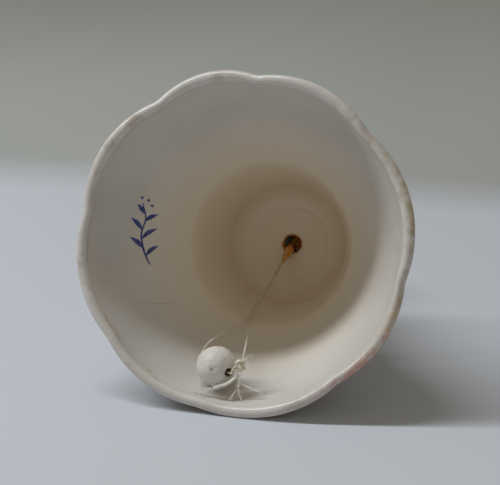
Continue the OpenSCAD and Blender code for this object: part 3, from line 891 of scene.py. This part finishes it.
def bead():
    """A hand-rolled ceramic bead with a rounded bore."""
    way = Vector(BORE_WAY).normalized()
    turn = np.array(way.to_track_quat("Z", "X").to_matrix())
    edge = math.degrees(math.acos((BORE_BEAD_R + 0.45) / BEAD_R))
    line = arc(0, 0, BEAD_R, -edge, edge, 54)
    top = BEAD_R * math.sin(math.radians(edge))
    mouth = arc(BORE_BEAD_R + 0.42, top - 0.32, 0.42, 75, 180, 7)
    bore = [(BORE_BEAD_R, z) for z in np.linspace(top - 1.0, -top + 1.0, 8)]
    line += mouth + bore + [(r, -z) for r, z in reversed(mouth)]
    points, stain_and_shade = [], []
    for r, z in line:
        for a in np.radians(np.arange(0, 360, 4)):
            p = np.array((r * math.cos(a), r * math.sin(a), z))
            unit = Vector(p / max(np.linalg.norm(p), 1e-6))
            grow = 0.11 * noise.noise(unit * 1.6 + Vector((3, 1, 2))) + 0.05 * noise.noise(unit * 5)
            at = turn @ (p * (1 + grow / BEAD_R * (0.2 if r < BORE_BEAD_R + 0.5 else 1)))
            chip = np.linalg.norm(at - np.array((0.15, 0.4, -4.45)))
            at = at * (1 - 0.05 * math.exp(-(chip / 0.42) ** 2))
            points.append(BEAD + at)
            # Painted contact shadow: the bead is darkened on the floor side where it lies against the wall
            painted_contact_shadow = np.linalg.norm(at - 4.4 * np.array((-0.5, 0.83, -0.22)))
            # Painted shade darkening the bore and the rounding of its mouth, a real stain at the chip, and the
            # painted contact shadow
            stain_and_shade.append(max(0.0, 1 - (r - BORE_BEAD_R) / 0.5) + 0.55 * math.exp(-(chip / 0.38) ** 2)
                         + 0.6 * math.exp(-(painted_contact_shadow / 0.8) ** 2))
    faces = grid_faces(len(line), 90, close_rows=True)
    return add_mesh("clapper_bead_ceramic", points, faces, BISQUE, "bead",
                    {"stain_and_shade": np.clip(stain_and_shade, 0, 1)}, ["clapper_bead"])


thread, thread_path = twisted_thread()
strand, strand_path = bead_strand()
back_strand = return_strand()
knot = knot_piece("tie_knot_tied", (KNOT[0] + KNOT[1]) / 2, KNOT_R, 0.42, "clapper", STRAND,
                  "cotton_strand", 1.0, ["tie_knot"])
long_tail = frayed_tail("long_tail_frayed", LONG_TAIL, TAIL_D, 12, 31, ["long_tail"])
short_tail = frayed_tail("short_tail_frayed", SHORT_TAIL, TAIL_D, 10, 32, ["short_tail"])
loose = fine_fibres()
soaked = soaked_end()
clapper = bead()

bell_body()
handle()
gilt_rings()
garland()
sprig()
old_marks()
glue_fillet()
knot_piece("anchor_knot_tied", ANCHOR, 1.25, 0.5, "swivel", AMBER, "glue", 0.4, ["anchor_knot"])

# ---- Floor, backdrop tone and light ----


def floor_material():
    s = Shader("pale_cloth", Roughness=0.9, Specular_IOR_Level=0.15)
    depth = s.add("SeparateXYZ", {"Vector": s.place}).outputs["Y"]
    wave = s.span(s.noise(3.0, 2), 0.3, 0.7, -0.009, 0.009)
    back = s.span(s.plus(depth, wave), 0.118, 0.165)
    cloth = s.mix(s.span(s.noise(1.5, 2), 0.35, 0.65), (0.52, 0.55, 0.605), (0.575, 0.607, 0.66))
    # Painted light: the backdrop tone grows paler with distance, making up for the lamp's light falling off
    # further back
    wall = s.mix(s.span(depth, 0.16, 0.75), (0.36, 0.378, 0.365), (0.475, 0.50, 0.485))
    wall = s.mix(s.span(s.noise(5, 2, 0.5, (1, 0.15, 1)), 0.35, 0.65, 0, 0.25), wall, (0.52, 0.54, 0.52))
    s.set(Base_Color=s.mix(back, cloth, wall))
    return s.bump(s.noise(500, 3), 0.0002, 0.1).material


def add_floor():
    reach = 3.0
    corners = [(-reach, -reach, 0), (reach, -reach, 0), (reach, reach, 0), (-reach, reach, 0)]
    mesh = bpy.data.meshes.new("floor")
    mesh.from_pydata(corners, [], [(0, 1, 2, 3)])
    mesh.materials.append(floor_material())
    floor = bpy.data.objects.new("floor", mesh)
    SCENE.collection.objects.link(floor)


def add_strip(name, toward, distance, length, thickness, power, colour):
    """A long soft strip whose length runs along the mouth's plane, shining at the mouth."""
    place = MOUTH + distance * toward
    light = bpy.data.lights.new(name, "AREA")
    light.shape, light.size, light.size_y = "RECTANGLE", length, thickness
    light.energy, light.color = power, colour
    lamp = bpy.data.objects.new(name, light)
    SCENE.collection.objects.link(lamp)
    along = INWARD.cross(toward).normalized()
    across = toward.cross(along)
    lamp.matrix_world = Matrix((
        (along.x, across.x, toward.x, place.x),
        (along.y, across.y, toward.y, place.y),
        (along.z, across.z, toward.z, place.z),
        (0, 0, 0, 1)))


def add_world():
    world = bpy.data.worlds.new("studio")
    SCENE.world = world
    world.use_nodes = True
    sky = world.node_tree.nodes["Background"]
    sky.inputs["Color"].default_value = (1.0, 0.91, 0.76, 1)
    sky.inputs["Strength"].default_value = 0.27


add_floor()
add_world()
# The light's direction: its angle round the mouth from +X, and how far it stands before the mouth's plane
SIDEWAYS = math.radians(124)
UP_THE_MOUTH = math.cos(SIDEWAYS) * ACROSS - math.sin(SIDEWAYS) * TO_FLOOR
BEFORE_MOUTH = math.radians(18)
TOWARD_LIGHT = math.cos(BEFORE_MOUTH) * UP_THE_MOUTH - math.sin(BEFORE_MOUTH) * INWARD
add_strip("window", TOWARD_LIGHT, distance=0.8, length=0.8, thickness=0.06, power=5.3, colour=(0.92, 0.96, 1.0))
